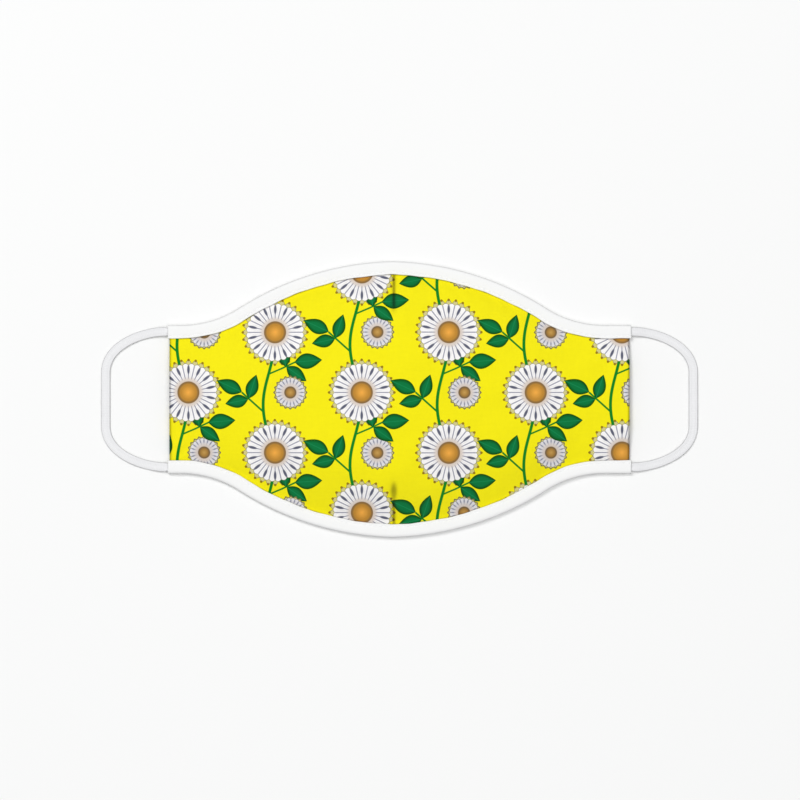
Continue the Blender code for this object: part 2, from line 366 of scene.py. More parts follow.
def edge_shade(x, y):
    """The share of light lost where the cloth runs in under the tape and rolls over at its sides."""
    from_tape = np.maximum(outline(x, TAPE_WIDTH) - np.abs(y), 0)
    from_side = np.maximum(ROLL_X - np.abs(x), 0)
    by_tape = SHADE["tape"] * np.exp(-from_tape / SHADE["tape_reach"])
    by_side = SHADE["side"] * np.exp(-from_side / SHADE["side_reach"])
    return 1 - (1 - by_tape) * (1 - by_side)


def seam_shade(x, y):
    """The share of light lost along the darts' sewn lines and in the dimples near their tips."""
    light = np.ones_like(x)
    across = x - DART_X
    fade_from, fade_to = SHADE["seam_fade"]
    for dart in DARTS:
        down = down_dart(y, dart)
        end = dart["length"] - dart["open"]
        sewn = 1 - smooth_step(down, end - fade_from, end - fade_to)
        light *= 1 - SHADE["seam"] * sewn * np.exp(-((across / SHADE["seam_reach"]) ** 2))
        depth = dart["dimple"] / MM
        light *= 1 - SHADE["dimple"] * depth * oval(across, down - dart["length"], DIMPLE_SHADE)
    return 1 - light


# Meshes


def spaced(stops):
    """Numbers from the first stop to the last, each stretch cut evenly at about the step of its start."""
    made = [stops[0][0]]
    for (start, step), (end, _) in zip(stops, stops[1:]):
        count = max(1, round((end - start) / step))
        made += [start + (end - start) * (i + 1) / count for i in range(count)]
    return np.array(made)


def distance_run(points):
    """The distance from the first point to each of them, along their line."""
    return np.concatenate([[0], np.cumsum(np.linalg.norm(np.diff(points, axis=0), axis=1))])


def mirrored(section):
    """The points of half a section again, backwards and on the other side of its middle."""
    return [(place, -height) for place, height in reversed(section)]


def finished(name, mesh):
    """An object of the mesh, its faces turned outwards and shaded smooth."""
    bm = bmesh.new()
    bm.from_mesh(mesh)
    bmesh.ops.recalc_face_normals(bm, faces=bm.faces)
    bm.to_mesh(mesh)
    bm.free()
    mesh.shade_smooth()
    obj = bpy.data.objects.new(name, mesh)
    bpy.context.scene.collection.objects.link(obj)
    return obj


def add_tube(name, rings, places, skins, shade, slots=None):
    """A closed mesh through rings of points. places holds each corner's place on the cloth, in metres, with
    one column more than the rings for where they close. shade is the share of light that each point has
    lost, and slots gives the material of each stretch."""
    rows, count = rings.shape[:2]
    i, k = np.meshgrid(np.arange(rows - 1), np.arange(count), indexing="ij")
    here, ahead, after = i * count, (i + 1) * count, (k + 1) % count
    quads = np.stack([here + k, here + after, ahead + after, ahead + k], axis=-1)
    spots = np.stack([places[i, k], places[i, k + 1], places[i + 1, k + 1], places[i + 1, k]], axis=-2)
    quads, spots = quads.reshape(-1, 4), spots.reshape(-1, 4, 2)
    k = np.arange(count // 2 - 1)
    for end in (0, rows - 1):
        corners = np.stack([k, k + 1, count - 2 - k, count - 1 - k], axis=-1)
        quads = np.concatenate([quads, end * count + corners])
        spots = np.concatenate([spots, places[end][corners]])
    mesh = bpy.data.meshes.new(name)
    mesh.from_pydata(rings.reshape(-1, 3).tolist(), [], quads.tolist())
    layer = mesh.uv_layers.new(name="Cloth")
    layer.uv.foreach_set("vector", spots.astype(np.float32).ravel())
    for skin in skins:
        mesh.materials.append(skin)
    lost = mesh.attributes.new("shade", "FLOAT", "POINT")
    lost.data.foreach_set("value", shade.astype(np.float32).ravel())
    if slots is not None:
        ends = np.zeros(len(quads) - slots.size, dtype=np.int32)
        mesh.polygons.foreach_set("material_index", np.concatenate([slots.ravel().astype(np.int32), ends]))
    return finished(name, mesh)


def panel_columns():
    """Places across the panel, closer together at the hems and along the darts' seams."""
    step = PANEL_STEPS
    stops = [(-ROLL_X, step["hem"]), (-HEM_X - HEM_REACH, step["hem"]), (-HEM_X + HEM_REACH, step["plain"])]
    stops += [(DART_X - NEAR_SEAM_REACH, step["near_seam"]), (DART_X - SEAM_REACH, step["seam"])]
    stops += [(DART_X + SEAM_REACH, step["near_seam"]), (DART_X + NEAR_SEAM_REACH, step["plain"])]
    stops += [(HEM_X - HEM_REACH, step["hem"]), (HEM_X + HEM_REACH, step["hem"]), (ROLL_X, None)]
    return spaced(stops)


def panel_grid(columns):
    """(x, y) of the panel's points, in rows from the edge in the lower tape to the edge in the upper one."""
    upper = spaced(PANEL_ROWS)
    x, share = np.meshgrid(columns, np.concatenate([-upper[::-1], upper[1:]]))
    inner = outline(x, TAPE_WIDTH)
    corner_x = BODY_WIDTH / 2 - CORNER_RUN
    corner = smooth_step(np.abs(columns), corner_x - CORNER_EASE, corner_x)
    held = HELD_MIDDLE + (HELD_CORNER - HELD_MIDDLE) * corner
    beyond = (inner[0] + held)[None, :]
    return np.concatenate([x[:1], x, x[:1]]), np.concatenate([-beyond, inner * share, beyond])


def panel_sides(x, y):
    """Points of the panel's face and of its inside, which the hems and the darts' tucks thicken."""
    middle = np.stack([x, y, level(x, y)], axis=-1)
    normals = panel_normals(x, y)
    hem = smooth_step(np.abs(x), HEM_X - SIDE_HEM_EASE, HEM_X + SIDE_HEM_EASE) * SIDE_HEM_STEP
    free = smooth_step(outline(x, TAPE_WIDTH) - np.abs(y), *FREE_OF_TAPE)
    below = PANEL_WALL / 2 + (tuck(x, y) + hem) * free
    above = PANEL_WALL / 2 - seam_crease(x, y)
    return middle + normals * above[..., None], middle - normals * below[..., None]


def rolled_side(face, inside, column, outward):
    """Points round the roll at one side, from the face to the inside."""
    centre = (face[:, column] + inside[:, column]) / 2
    half = (face[:, column] - inside[:, column]) / 2
    reach = np.array([[outward * SIDE_ROLL, 0, 0]])
    return np.stack([centre + half * cos(turn) + reach * sin(turn) for turn in ROLL_TURNS], axis=1)


def panel_places(rings, count):
    """Places on the cloth of the panel's rings. The print runs on round its sides and under its hems."""
    turned = len(ROLL_TURNS)
    places = rings[..., :2].copy()
    places[:, count : count + turned, 0] = ROLL_X + SIDE_ROLL * ROLL_TURNS
    places[:, 2 * count + turned :, 0] = -ROLL_X - SIDE_ROLL * ROLL_TURNS[::-1]
    inside_x = places[:, count + turned : 2 * count + turned, 0]
    folded = np.abs(inside_x) >= HEM_X
    inside_x[folded] = (np.sign(inside_x) * (2 * ROLL_X + pi * SIDE_ROLL) - inside_x)[folded]
    return np.concatenate([places, places[:, :1]], axis=1)


def panel_shade(x, y):
    """The share of light lost at the points of the panel's rings."""
    on_face = 1 - (1 - edge_shade(x, y)) * (1 - seam_shade(x, y))
    on_inside = SHADE["inside"] * edge_shade(x, y)
    right, left = [np.repeat(on_face[:, [column]], len(ROLL_TURNS), axis=1) for column in (-1, 0)]
    return np.concatenate([on_face, right, on_inside[:, ::-1], left], axis=1)


def add_panel(print_cloth, plain_cloth):
    """The printed cloth, with its face, its inside and the rolled edges at the sides."""
    columns = panel_columns()
    x, y = panel_grid(columns)
    face, inside = panel_sides(x, y)
    right = rolled_side(face, inside, -1, 1)
    left = rolled_side(face, inside, 0, -1)
    rings = np.concatenate([face, right, inside[:, ::-1], left[:, ::-1]], axis=1)
    start = len(columns) + len(ROLL_TURNS)
    on_inside = slice(start, start + len(columns))
    slots = np.zeros((len(rings) - 1, rings.shape[1]), dtype=np.int32)
    slots[:, on_inside] = np.abs(rings[:-1, on_inside, 0]) < HEM_X
    places = panel_places(rings, len(columns))
    skins = [print_cloth, plain_cloth]
    panel = add_tube("printed_cloth_panel", rings, places, skins, panel_shade(x, y), slots)
    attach(panel, BODY)
    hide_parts("printed_panel")
    heights = 2 * outline(columns, TAPE_WIDTH / 2)


def edge_path():
    """Points along the upper outer edge from -X to +X, the directions inwards, and the distance run."""
    x = spaced([(-BODY_WIDTH / 2, 0.5 * MM), (BODY_WIDTH / 2, None)])
    for _ in range(3):
        run = distance_run(np.stack([x, outline(x, 0.0)], axis=-1))
        x = np.interp(np.linspace(0, run[-1], len(x)), run, x)
    points = np.stack([x, outline(x, 0.0)], axis=-1)
    along = np.gradient(points, axis=0)
    along /= np.linalg.norm(along, axis=-1, keepdims=True)
    along[0], along[-1] = (1, 0), (1, 0)
    inwards = np.stack([along[:, 1], -along[:, 0]], axis=-1)
    return points, inwards, distance_run(points)


def tape_section():
    """(distance in from the outer edge, height from the middle) round the tape, from its upper lip."""
    half, slot = TAPE_THICKNESS / 2, SLOT / 2
    seam = TAPE_WIDTH - STITCH_INSET
    upper = [(TAPE_WIDTH - inset * MM, half - drop * MM) for inset, drop in TAPE_LIP]
    upper += [(seam + beside * MM, half - drop * MM) for beside, drop in TAPE_FACE]
    for step in range(TAPE_FOLD_STEPS):
        turn = pi / 2 * step / TAPE_FOLD_STEPS
        upper.append((TAPE_FOLD - TAPE_FOLD * sin(turn), half * cos(turn) ** TAPE_FOLD_FULLNESS))
    inner = [(TAPE_WIDTH - inset * MM, -slot - flare * MM) for inset, flare in TAPE_SLOT]
    inner.append((TAPE_WALL, -slot / 2))
    return np.array(upper + [(0.0, 0.0)] + mirrored(upper) + inner + mirrored(inner))


def end_press(x):
    """How far each half of the tape is pressed onto the elastic near the tape's ends."""
    end = BODY_WIDTH / 2
    return TAPE_END_PRESS * smooth_step(np.abs(x), end - TAPE_END_RUN, end - TAPE_END_FLAT)


def add_tape(name, node, side, skin, thread):
    """The tape folded over the upper (side 1) or lower (side -1) edge, with its row of stitches."""
    points, inwards, run = edge_path()
    section = tape_section()
    pull = STITCH_PULL * np.cos(2 * pi * run / STITCH_PITCH)
    sway = TAPE_SWAY * np.sin(2 * pi * run / TAPE_SWAY_LENGTH + side)
    sway += TAPE_RIPPLE * np.sin(2 * pi * run / TAPE_RIPPLE_LENGTH)
    seam = TAPE_WIDTH - STITCH_INSET
    press = end_press(points[:, 0])
    rings = np.empty((len(points), len(section), 3))
    for k, (distance, height) in enumerate(section):
        on_face = 1 if abs(height) > SLOT / 2 else 0
        near_seam = on_face * np.exp(-(((distance - seam) / STITCH_PULL_WIDTH) ** 2))
        inner_share = max(0.0, (distance / TAPE_WIDTH - 0.5) * 2)
        at = points + inwards * (distance + sway * inner_share)[:, None]
        rings[:, k, 0] = at[:, 0]
        rings[:, k, 1] = at[:, 1] * side
        pressed = press * min(1.0, abs(height) / (SLOT / 2))
        rings[:, k, 2] = MID_LEVEL + height - (pull * near_seam + pressed) * np.sign(height)
    across = distance_run(np.concatenate([section, section[:1]]))
    places = np.stack(np.meshgrid(run, across, indexing="ij"), axis=-1)
    shade = np.tile(rim_shade(section[:, 0]), (len(points), 1))
    tape = add_tube(name, rings, places, [skin], shade)
    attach(tape, BODY)
    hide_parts(node)
    add_stitches(name + "_stitches", points, inwards, run, side, thread)


def stitch_shape():
    """(points, faces) of a stitch along X, its ends rounded down into the cloth."""
    sides, rings, blunt = 7, 8, 0.04
    points, faces = [], []
    for i in range(rings):
        share = i / (rings - 1)
        x = (share - 0.5) * STITCH_LENGTH
        radius = STITCH_RADIUS * sin(pi * min(max(share, blunt), 1 - blunt)) ** STITCH_FULLNESS
        drop = STITCH_DIVE * abs(2 * share - 1) ** 4
        for k in range(sides):
            turn = 2 * pi * k / sides
            points.append((x, radius * cos(turn), radius * sin(turn) - drop))
    for i in range(rings - 1):
        for k in range(sides):
            j = (k + 1) % sides
            faces.append((i * sides + k, i * sides + j, (i + 1) * sides + j, (i + 1) * sides + k))
    faces.append(tuple(reversed(range(sides))))
    faces.append(tuple(range((rings - 1) * sides, rings * sides)))
    return np.array(points), faces


def add_stitches(name, points, inwards, run, side, thread):
    """One row of lockstitches through the tape, on its upper and its lower side."""
    shape, shape_faces = stitch_shape()
    vertices, faces = [], []
    count = int(run[-1] / STITCH_PITCH)
    for i in range(count):
        at_run = (i + 0.5) * run[-1] / count
        at = np.array([np.interp(at_run, run, points[:, c]) for c in (0, 1)])
        into = np.array([np.interp(at_run, run, inwards[:, c]) for c in (0, 1)])
        spot = at + into * (TAPE_WIDTH - STITCH_INSET)
        ahead = np.array([-into[1], into[0]]) + into * STITCH_SLANT * sin(i * STITCH_SLANT_TURN)
        ahead /= np.linalg.norm(ahead)
        beside = np.array([-ahead[1], ahead[0]])
        for up, sink in ((1, STITCH_SINK), (-1, STITCH_SINK_BELOW)):
            base = len(vertices) * len(shape)
            placed = np.empty_like(shape)
            placed[:, :2] = spot + shape[:, :1] * ahead + shape[:, 1:2] * beside
            raised = TAPE_THICKNESS / 2 - sink + STITCH_RADIUS / 2 - float(end_press(spot[0]))
            placed[:, 2] = MID_LEVEL + up * (raised + shape[:, 2])
            placed[:, 1] *= side
            vertices.append(placed)
            faces += [tuple(base + index for index in face) for face in shape_faces]
    mesh = bpy.data.meshes.new(name)
    mesh.from_pydata(np.concatenate(vertices).tolist(), [], faces)
    mesh.materials.append(thread)
    stitches = finished(name, mesh)
    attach(stitches, BODY)


def loop_path(side):
    """Points round an ear loop from its upper tail to its lower one, on +X, with the distance run."""
    end_x = BODY_WIDTH / 2
    start = np.array([end_x + LOOP_START, SIDE_HEIGHT / 2 - TAPE_WIDTH / 2])
    finish = np.array([LOOP_HIGH.x - LOOP_WIDTH / 2, LOOP_BACK_RUN / 2])
    wide, high = finish[0] - start[0], start[1] - finish[1]
    near, far = start + [LOOP_EASE * wide, 0], finish + [0, LOOP_TURN * high]
    t = np.linspace(0, 1, LOOP_POINTS["bend"])[:, None]
    s = 1 - t
    bend = start * s**3 + near * 3 * s * s * t + far * 3 * s * t * t + finish * t**3
    tail_x = np.linspace(end_x - LOOP_TAIL, end_x, LOOP_POINTS["tail"])
    tail = np.stack([tail_x, outline(side * tail_x, LOOP_TAIL_INSET)], axis=-1)
    back_y = np.linspace(finish[1], 0, LOOP_POINTS["back"] + 1)[1:]
    back = np.stack([np.full_like(back_y, finish[0]), back_y], axis=-1)
    half = np.concatenate([tail, bend, back])
    path = np.concatenate([half, half[-2::-1] * [1, -1]])
    run = distance_run(path)
    even = np.linspace(0, run[-1], LOOP_POINTS["in_all"])
    path = np.stack([np.interp(even, run, path[:, c]) for c in (0, 1)], axis=-1)
    for _ in range(LOOP_SMOOTHINGS):
        path[1:-1] = (path[:-2] + 2 * path[1:-1] + path[2:]) / 4
    return path, even


def band_section():
    """(across, height) round the ribbed elastic, as shares of half its width and of half its thickness."""
    count = LOOP_RIBS * LOOP_RIB_STEPS
    depth = LOOP_RIB_DEPTH / (LOOP_THICKNESS / 2)
    upper = [(-1.0, LOOP_EDGE)]
    for i in range(1, count):
        across = -1 + 2 * i / count
        body = (1 - abs(across) ** LOOP_SQUARENESS) ** 0.5
        rib = depth * (1 - cos(2 * pi * LOOP_RIBS * i / count)) / 2
        upper.append((across, max(0.0, body - depth + rib)))
    upper.append((1.0, LOOP_EDGE))
    return np.array(upper + mirrored(upper))


def add_loop(name, node, side, skin):
    """The elastic from the upper binding's end round to the lower one's. side 1 is +X."""
    path, run = loop_path(side)
    ahead = np.gradient(path, axis=0)
    ahead /= np.linalg.norm(ahead, axis=1, keepdims=True)
    beside = np.stack([-ahead[:, 1], ahead[:, 0]], axis=-1)
    past_end = path[:, 0] - BODY_WIDTH / 2
    width = LOOP_TAIL_WIDTH + (LOOP_WIDTH - LOOP_TAIL_WIDTH) * smooth_step(past_end, 0, LOOP_WIDENING)
    settle = smooth_step(past_end, LOOP_FALL_START, LOOP_FALL_START + LOOP_SETTLE)
    rest = LOOP_THICKNESS / 2 + LOOP_CLEARANCE
    sway = LOOP_SWAY * np.sin(2 * pi * run / LOOP_SWAY_LENGTH + side) ** 2 * settle
    height = MID_LEVEL + (rest - MID_LEVEL) * settle + sway
    tilt = LOOP_TILT * np.sin(2 * pi * run / LOOP_TILT_LENGTH + LOOP_TILT_PHASE) * settle
    section = band_section()
    rings = np.empty((len(path), len(section), 3))
    for k, (across, high) in enumerate(section):
        reach = across * width / 2
        lift = np.abs(np.sin(tilt)) * LOOP_WIDTH / 2 + np.sin(tilt) * reach
        rings[:, k, :2] = path + beside * reach[:, None]
        rings[:, k, 2] = height + lift / 2 + high * LOOP_THICKNESS / 2
    rings[..., 0] *= side
    around = distance_run(np.concatenate([section, section[:1]])) * LOOP_WIDTH / 2
    places = np.stack(np.meshgrid(run, around, indexing="ij"), axis=-1)
    shade = np.tile(rim_shade((1 - np.abs(section[:, 0])) * LOOP_WIDTH / 2), (len(path), 1))
    loop = add_tube(name, rings, places, [skin], shade)
    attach(loop, BODY)
    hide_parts(node)


# Materials


class Reading:
    """A number in a material, worked out by Math nodes but written as arithmetic."""

    def __init__(self, tree, value):
        self.tree = tree
        self.value = value

    def work(self, operation, *others, clamp=False):
        node = self.tree.nodes.new("ShaderNodeMath")
        node.operation = operation
        node.use_clamp = clamp
        for socket, item in zip(node.inputs, (self, *others)):
            item = getattr(item, "value", item)
            if isinstance(item, bpy.types.NodeSocket):
                self.tree.links.new(item, socket)
            else:
                socket.default_value = item
        return Reading(self.tree, node.outputs[0])

    def __add__(self, other):
        return self.work("ADD", other)

    def __sub__(self, other):
        return self.work("SUBTRACT", other)

    def __rsub__(self, other):
        return Reading(self.tree, other).work("SUBTRACT", self)

    def __mul__(self, other):
        return self.work("MULTIPLY", other)

    def scaled(self, factor, added):
        return self.work("MULTIPLY_ADD", factor, added)

    def size(self):
        return self.work("ABSOLUTE")

    def folded(self, whole):
        """The distance from the nearest multiple of whole, from -whole/2 to whole/2."""
        return self.work("WRAP", whole / 2, -whole / 2)

    def below(self, limit, soft):
        """1 where this is under limit, 0 where it is over, with a soft step between."""
        if isinstance(limit, Reading):
            return (limit - self).work("MULTIPLY_ADD", 1 / soft, 0.5, clamp=True)
        return self.work("MULTIPLY_ADD", -1 / soft, limit / soft + 0.5, clamp=True)

    def above(self, limit, soft):
        return self.work("MULTIPLY_ADD", 1 / soft, 0.5 - limit / soft, clamp=True)


def painted(colour, mask, over):
    """colour with over laid on it where mask is 1. Either colour may be a socket or numbers."""
    tree = mask.tree
    node = tree.nodes.new("ShaderNodeMix")
    node.data_type = "RGBA"
    tree.links.new(mask.value, node.inputs["Factor"])
    ports = [socket for socket in node.inputs if socket.type == "RGBA"]
    for port, item in zip(ports, (colour, over)):
        if isinstance(item, bpy.types.NodeSocket):
            tree.links.new(item, port)
        else:
            port.default_value = item
    return next(socket for socket in node.outputs if socket.type == "RGBA")


# The print, in millimetres: columns of daisies, every second one dropped by half a step
COLUMN_STEP = 38.9
ROW_STEP = 53.9
FIRST_DAISY = (-16.85, 3.1)
EDGE_SOFT = 0.14

GROUND = srgb(247, 235, 14)
STEM = srgb(10, 130, 34)
LEAF = srgb(0, 117, 60)
LEAF_RIM = srgb(2, 76, 6)
LEAF_VEIN = srgb(18, 134, 78)
PETAL_BASE = srgb(214, 198, 184)
BACK_PETAL = srgb(212, 204, 136)
RIM_LINE = srgb(118, 112, 76)

# Leaves of the two sprigs beside a daisy, measured from its middle
RIGHT_SPRIG = {
    "middle": (24.0, 0.0),
    "leaves": (
        {"base": (24.1, 0.2), "tip": (12.8, 5.4), "width": 3.2},
        {"base": (27.1, -2.7), "tip": (30.6, 8.0), "width": 2.8},
        {"base": (26.9, -3.0), "tip": (16.6, -5.1), "width": 2.9},
    ),
    "twig": ((33.6, -8.5), (27.1, -2.7), (24.1, 0.0)),
    "twig_width": 0.42,
}
LOWER_SPRIG = {
    "middle": (5.0, -22.0),
    "leaves": (
        {"base": (4.9, -15.4), "tip": (3.4, -6.4), "width": 2.7},
        {"base": (8.9, -13.4), "tip": (21.2, -12.4), "width": 3.45},
        {"base": (5.2, -15.5), "tip": (14.2, -21.9), "width": 2.85},
    ),
    "twig": ((-2.7, -18.7), (3.2, -16.2), (9.1, -13.4)),
    "twig_width": 0.38,
}
STEM_WIDTH = 0.68
STEM_MIDDLE = -2.9
STEM_SWING = 2.35
STEM_TURN_Y = -32.5

BIG_DAISY = {
    "middle": (0.0, 0.0),
    "petals": 28,
    "wedges": 14,
    "radius": 12.9,
    "scallop": 0.8,
    "back_radius": 14.9,
    "back_point": 4.2,
    "rim": 0.32,
    "spot_radius": 0.58,
    "spot_colour": srgb(152, 122, 14),
    "petal_colour": srgb(250, 248, 246),
    "line": 0.26,
    "line_colour": srgb(158, 158, 172),
    "wedge_width": 0.60,
    "wedge_colour": srgb(92, 95, 114),
    "wedge_from": 8.3,
    "wedge_to": 12.3,
    "base_to": 6.4,
    "centre": 5.0,
    "centre_rim": 1.0,
    "centre_colour": srgb(191, 136, 52),
    "centre_light": srgb(250, 178, 74),
    "centre_dark": srgb(140, 108, 62),
}
SMALL_DAISY = {
    "middle": (6.96, -26.95),
    "petals": 20,
    "wedges": 20,
    "radius": 6.5,
    "scallop": 0.45,
    "back_radius": 7.2,
    "back_point": 1.8,
    "rim": 0.50,
    "spot_radius": 0.26,
    "spot_colour": srgb(150, 132, 84),
    "petal_colour": srgb(224, 222, 224),
    "line": 0.14,
    "line_colour": srgb(166, 164, 176),
    "wedge_width": 0.30,
    "wedge_colour": srgb(140, 141, 158),
    "wedge_from": 4.3,
    "wedge_to": 6.0,
    "base_to": 3.9,
    "centre": 2.75,
    "centre_rim": 0.8,
    "centre_colour": srgb(168, 125, 60),
    "centre_light": srgb(202, 160, 86),
    "centre_dark": srgb(120, 98, 66),
}

# What all daisies, leaves and twigs share, in millimetres or as shares. A pair is a depth and its softness
PETAL_LINE = {"rim": 0.2, "start": 0.4, "start_soft": 0.6, "end": 0.1}
PETAL_VEIN = {"width": 0.07, "soft": 0.18, "reach": 0.8, "fade": 1.0, "strength": 0.45}
SPOT_INSET = 0.6
CENTRE_FEET = {"soft": 1.6, "strength": 0.85}
CENTRE_SOFT = {"edge": 0.3, "rim": 0.8}
CENTRE_LIGHT = {"reach": 0.35, "soft": 0.9}
LEAF_SHAPE = {"belly": 1.25, "taper": 0.5, "past_tip": 1.2}
LEAF_RIM_WIDTH = (1.0, 1.4)
VEIN_WIDTH = 0.16
VEIN_START = (0.5, 0.4)
TWIG_OVERRUN = 0.03


def on_lattice(u, v, middle):
    """(across, up) from the nearest copy of a motif whose first copy has its middle there."""
    away = u - (FIRST_DAISY[0] + middle[0])
    across = away.folded(COLUMN_STEP)
    column = (away - across) * (1 / COLUMN_STEP)
    up = column.scaled(-ROW_STEP / 2, v - (FIRST_DAISY[1] + middle[1])).folded(ROW_STEP)
    return across, up


def along_line(across, up, middle, start, end):
    """(share of the way from start to end, distance beside that line)."""
    dx, dy = end[0] - start[0], end[1] - start[1]
    length = hypot(dx, dy)
    x, y = across + (middle[0] - start[0]), up + (middle[1] - start[1])
    share = y.scaled(dy / length**2, x * (dx / length**2))
    beside = y.scaled(dx / length, x * (-dy / length))
    return share, beside


def draw_stem(colour, across, up, middle):
    turn = up.scaled(2 * pi / ROW_STEP, (middle[1] - STEM_TURN_Y) * 2 * pi / ROW_STEP)
    stem_x = turn.work("COSINE").scaled(-STEM_SWING, STEM_MIDDLE - middle[0])
    return painted(colour, (across - stem_x).size().below(STEM_WIDTH, EDGE_SOFT), STEM)


def draw_twig(colour, across, up, middle, start, end, width):
    share, beside = along_line(across, up, middle, start, end)
    inside = (share - 0.5).size().below(0.5 + TWIG_OVERRUN, TWIG_OVERRUN)
    return painted(colour, beside.size().below(width, EDGE_SOFT) * inside, STEM)


def draw_leaf(colour, across, up, middle, leaf):
    """A pointed oval, widest nearer its base, with a dark rim and a light vein."""
    share, beside = along_line(across, up, middle, leaf["base"], leaf["tip"])
    share = share.work("MINIMUM", LEAF_SHAPE["past_tip"])
    widest = 4 * leaf["width"]
    fullness = share.scaled(-LEAF_SHAPE["taper"] * widest, LEAF_SHAPE["belly"] * widest)
    depth = (1 - share) * share * fullness - beside.size()
    colour = painted(colour, depth.above(0.0, EDGE_SOFT), LEAF_RIM)
    colour = painted(colour, depth.above(*LEAF_RIM_WIDTH), LEAF)
    vein = beside.size().below(VEIN_WIDTH, VEIN_WIDTH) * depth.above(*VEIN_START)
    return painted(colour, vein, LEAF_VEIN)


def draw_sprig(colour, u, v, sprig):
    """A sprig's twig and leaves. The daisies' stem passes under the lower one."""
    across, up = on_lattice(u, v, sprig["middle"])
    if sprig is LOWER_SPRIG:
        colour = draw_stem(colour, across, up, sprig["middle"])
    for start, end in zip(sprig["twig"], sprig["twig"][1:]):
        colour = draw_twig(colour, across, up, sprig["middle"], start, end, sprig["twig_width"])
    for leaf in sprig["leaves"]:
        colour = draw_leaf(colour, across, up, sprig["middle"], leaf)
    return colour


def daisy_place(u, v, daisy):
    """(angle, distance) from the middle of the nearest copy of a daisy."""
    across, up = on_lattice(u, v, daisy["middle"])
    radius = up.work("MULTIPLY_ADD", up, across * across).work("SQRT")
    return across.work("ARCTAN2", up), radius


def in_odd_column(u, daisy):
    """1 in every second column of a daisy, beginning beside the first, and 0 in the others."""
    away = u - (FIRST_DAISY[0] + daisy["middle"][0])
    column = (away - away.folded(COLUMN_STEP)) * (1 / COLUMN_STEP)
    return column.folded(2).size()


def draw_back_petals(colour, place, daisy):
    """The pointed petals behind, with a spot at each point."""
    angle, radius = place
    span = 2 * pi / daisy["petals"]
    back = (angle * (1 / span)).folded(1).size()
    edge = back.scaled(-daisy["back_point"], daisy["back_radius"])
    colour = painted(colour, radius.below(edge + daisy["rim"], EDGE_SOFT), RIM_LINE)
    colour = painted(colour, radius.below(edge, EDGE_SOFT), BACK_PETAL)
    side = back * radius * span
    off = radius - (daisy["back_radius"] - SPOT_INSET * daisy["spot_radius"])
    spot = side.work("MULTIPLY_ADD", side, off * off).work("SQRT")
    return painted(colour, spot.below(daisy["spot_radius"], EDGE_SOFT), daisy["spot_colour"])


def draw_front_petals(colour, place, daisy):
    """The round-ended petals in front, with lines between them, veins and wedges."""
    angle, radius = place
    span = 2 * pi / daisy["petals"]
    front = (angle * (1 / span) + 0.5).folded(1).size()
    edge = (front * front).scaled(-4 * daisy["scallop"], daisy["radius"])
    colour = painted(colour, radius.below(edge + PETAL_LINE["rim"], EDGE_SOFT), RIM_LINE)
    colour = painted(colour, radius.below(edge, EDGE_SOFT), daisy["petal_colour"])
    gap = (0.5 - front) * radius * span
    start = radius.above(daisy["base_to"] - PETAL_LINE["start"], PETAL_LINE["start_soft"])
    line = gap.below(daisy["line"], EDGE_SOFT) * start
    vein = (front * radius * span).below(PETAL_VEIN["width"], PETAL_VEIN["soft"])
    vein = vein * radius.below(PETAL_VEIN["reach"] * daisy["radius"], PETAL_VEIN["fade"])
    end = radius.below(edge - PETAL_LINE["end"], EDGE_SOFT)
    line = line.work("MAXIMUM", vein * PETAL_VEIN["strength"]) * end
    colour = painted(colour, line, daisy["line_colour"])

    wedge_span = 2 * pi / daisy["wedges"]
    beside = (angle * (1 / wedge_span)).folded(1).size() * radius * wedge_span
    middle = (daisy["wedge_from"] + daisy["wedge_to"]) / 2
    half = (daisy["wedge_to"] - daisy["wedge_from"]) / 2
    along = (radius - middle) * (daisy["wedge_width"] / half)
    wedge = beside.work("MULTIPLY_ADD", beside, along * along).work("SQRT")
    return painted(colour, wedge.below(daisy["wedge_width"], 2 * EDGE_SOFT), daisy["wedge_colour"])


def draw_centre(colour, place, daisy):
    """A round centre with a dark rim and a light middle, and the darker feet of the petals round it."""
    radius = place[1]
    feet = radius.below(daisy["base_to"], CENTRE_FEET["soft"]) * CENTRE_FEET["strength"]
    colour = painted(colour, feet, PETAL_BASE)
    colour = painted(colour, radius.below(daisy["centre"], CENTRE_SOFT["edge"]), daisy["centre_dark"])
    inner = daisy["centre"] - daisy["centre_rim"]
    colour = painted(colour, radius.below(inner, CENTRE_SOFT["rim"]), daisy["centre_colour"])
    light = radius.below(CENTRE_LIGHT["reach"] * inner, CENTRE_LIGHT["soft"] * inner)
    return painted(colour, light, daisy["centre_light"])


def draw_small_daisy(colour, place):
    for draw in (draw_back_petals, draw_front_petals, draw_centre):
        colour = draw(colour, place, SMALL_DAISY)
    return colour


def draw_print(u, v):
    """The whole print. Small daisies lie over the sprigs in every second column and under them elsewhere."""
    big, small = daisy_place(u, v, BIG_DAISY), daisy_place(u, v, SMALL_DAISY)
    colour = draw_back_petals(GROUND, big, BIG_DAISY)
    colour = draw_small_daisy(colour, small)
    for sprig in (LOWER_SPRIG, RIGHT_SPRIG):
        colour = draw_sprig(colour, u, v, sprig)
    over = draw_small_daisy(colour, small)
    colour = painted(colour, in_odd_column(u, SMALL_DAISY), over)
    colour = draw_front_petals(colour, big, BIG_DAISY)
    return draw_centre(colour, big, BIG_DAISY)


def new_material(name, roughness, sheen):
    """A material with its shader's constants set, its node tree and its shader."""
    made = bpy.data.materials.new(name)
    made.use_nodes = True
    shader = made.node_tree.nodes["Principled BSDF"]
    shader.inputs["Roughness"].default_value = roughness
    shader.inputs["Sheen Weight"].default_value = sheen
    shader.inputs["Sheen Roughness"].default_value = 0.5
    shader.inputs["Specular IOR Level"].default_value = 0.15
    return made, made.node_tree, shader


